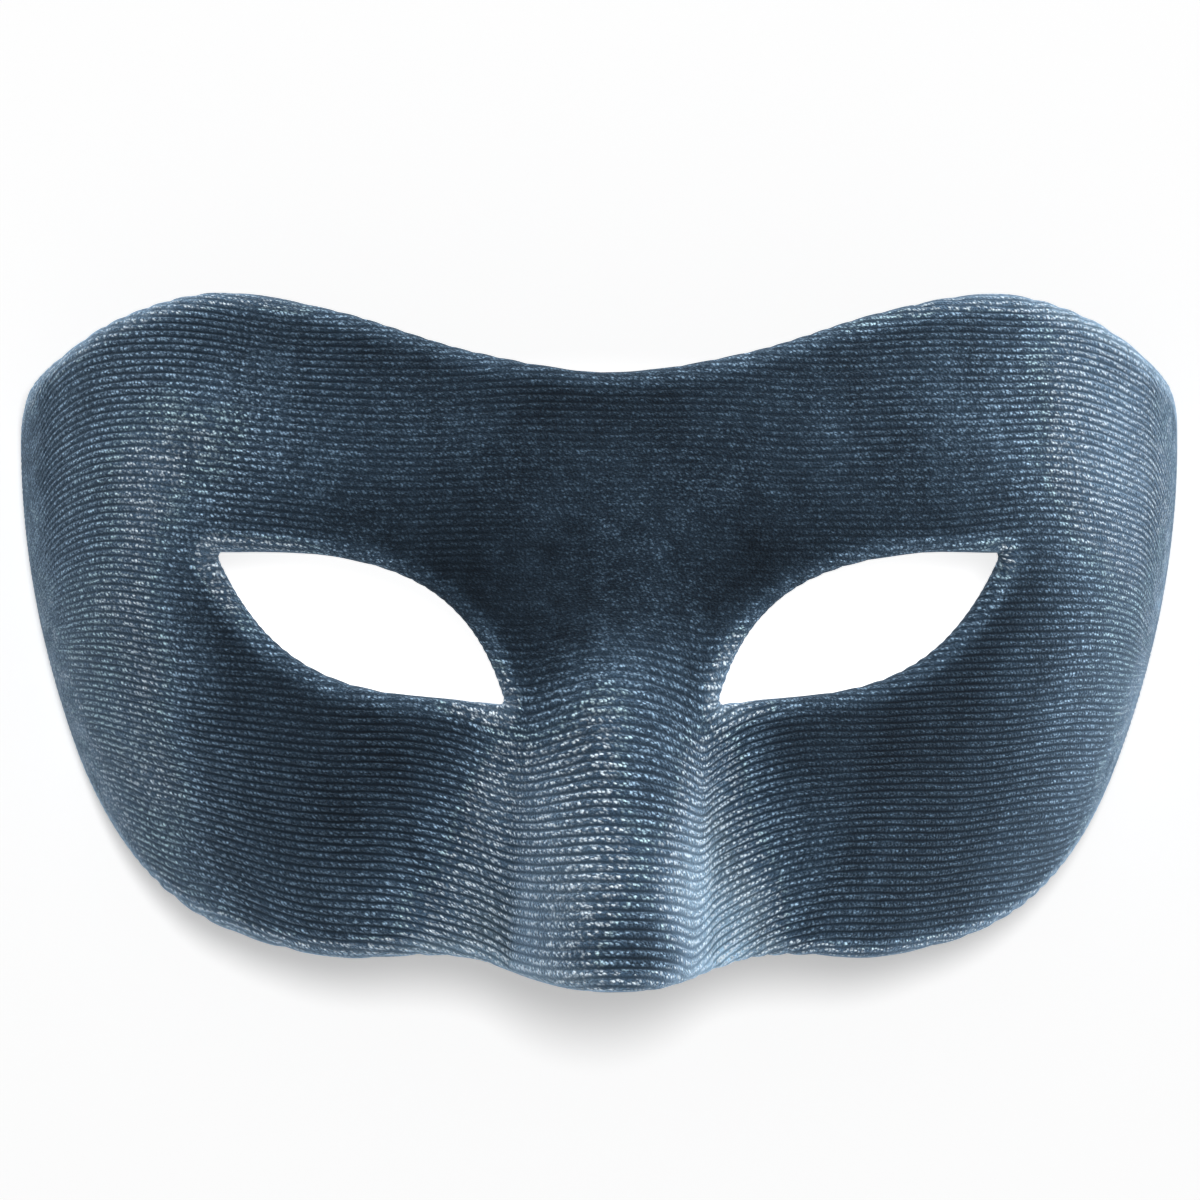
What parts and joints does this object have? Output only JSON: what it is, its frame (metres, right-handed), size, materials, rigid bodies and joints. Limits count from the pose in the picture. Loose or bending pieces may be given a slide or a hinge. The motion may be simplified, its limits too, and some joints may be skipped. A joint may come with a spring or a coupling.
{
  "type": "velvet masquerade mask",
  "caption": "Half face mask for a masquerade: a thin moulded bowl with a nose ridge and slanted eye holes, wrapped in ribbed velvet whose edges turn in to the back.",
  "frame": {"origin": "on the plane it rests on, at the middle of its outline", "axes": "+X to the viewer's right across the face, +Y to the forehead, +Z out of the face"},
  "size_m": [0.1732, 0.0992, 0.0673],
  "materials": {
    "velvet": "ribbed velvet, steel blue with a soft sheen",
    "shell": "pressed fibre, painted matte black-blue"
  },
  "bodies": {
    "root": {"velvet_cover": "velvet", "moulded_shell": "shell"}
  },
  "joints": []
}
